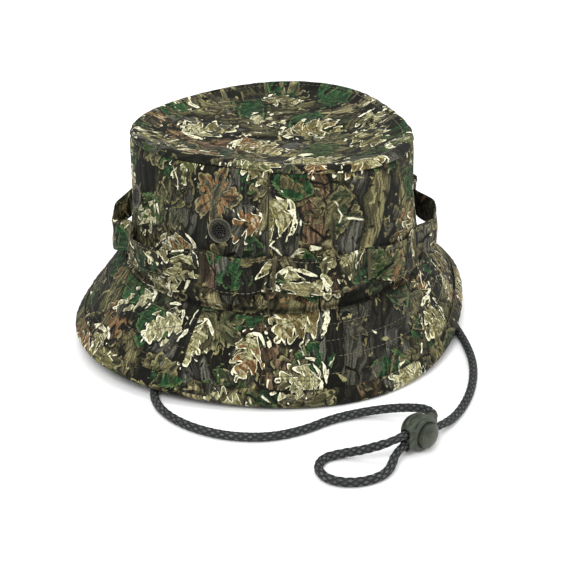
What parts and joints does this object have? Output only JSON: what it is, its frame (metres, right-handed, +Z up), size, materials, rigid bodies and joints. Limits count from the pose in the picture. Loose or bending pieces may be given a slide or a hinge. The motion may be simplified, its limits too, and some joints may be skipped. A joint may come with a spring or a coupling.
{
  "type": "boonie hat",
  "caption": "Soft-brimmed field hat with an oval crown, vents, a band of foliage loops, a bound brim and a chin cord with a sprung cord lock, resting on its brim.",
  "frame": {"origin": "on the floor that the brim rests on, under the middle of the crown", "axes": "+Z up through the crown, -Y to the front of the hat, X from ear to ear"},
  "size_m": [0.2729, 0.3091, 0.1265],
  "materials": {
    "camo_cloth": "printed cotton twill, matt",
    "band_cloth": "printed cotton twill, matt",
    "binding_tape": "printed cotton twill, folded",
    "interlining": "stiff non-woven",
    "lining_tape": "woven tape",
    "sweatband_cloth": "plain weave",
    "label_cloth": "blank woven label",
    "thread": "polyester thread",
    "vent_metal": "dark olive paint",
    "vent_screen": "dark olive paint",
    "cord_braid": "braided polyester",
    "anchor_tape": "woven webbing",
    "lock_plastic": "moulded, olive grey",
    "plunger_plastic": "moulded, olive grey",
    "spring_steel": "bright wire"
  },
  "bodies": {
    "root": {"crown_side_left": "camo_cloth", "crown_side_right": "camo_cloth", "crown_top": "camo_cloth", "brim_upper": "camo_cloth", "brim_lower": "camo_cloth", "brim_binding": "binding_tape", "brim_interlining": "interlining", "foliage_loop_01": "band_cloth", "foliage_loop_02": "band_cloth", "foliage_loop_03": "band_cloth", "foliage_loop_04": "band_cloth", "foliage_loop_05": "band_cloth", "foliage_loop_06": "band_cloth", "foliage_loop_07": "band_cloth", "foliage_loop_08": "band_cloth", "foliage_loop_09": "band_cloth", "foliage_loop_10": "band_cloth", "loop_bartacks": "thread", "top_seam_tape": "lining_tape", "side_seam_tape_front": "lining_tape", "side_seam_tape_back": "lining_tape", "sweatband": "sweatband_cloth", "woven_label": "label_cloth", "vent_left_front_eyelet": "vent_metal", "vent_left_front_washer": "vent_metal", "vent_left_front_screen": "vent_screen", "vent_left_back_eyelet": "vent_metal", "vent_left_back_washer": "vent_metal", "vent_left_back_screen": "vent_screen", "vent_right_front_eyelet": "vent_metal", "vent_right_front_washer": "vent_metal", "vent_right_front_screen": "vent_screen", "vent_right_back_eyelet": "vent_metal", "vent_right_back_washer": "vent_metal", "vent_right_back_screen": "vent_screen", "chin_cord": "cord_braid", "cord_anchor_left": "anchor_tape", "cord_anchor_right": "anchor_tape"},
    "cord_lock": {"cord_lock_barrel": "lock_plastic", "cord_lock_spring": "spring_steel"},
    "lock_plunger": {"cord_lock_plunger": "plunger_plastic"}
  },
  "joints": [
    {"name": "cord_lock_slide", "type": "slide", "parent": "root", "child": "cord_lock", "axis": [-1, 0, 0], "range_m": [0, 0.004]},
    {"name": "plunger_press", "type": "slide", "parent": "cord_lock", "child": "lock_plunger", "axis": [0, 1, 0], "range_m": [0, 0.002], "stiffness_N_per_m": 700, "springref_m": -0.003, "deforming": ["cord_lock_spring"]}
  ]
}
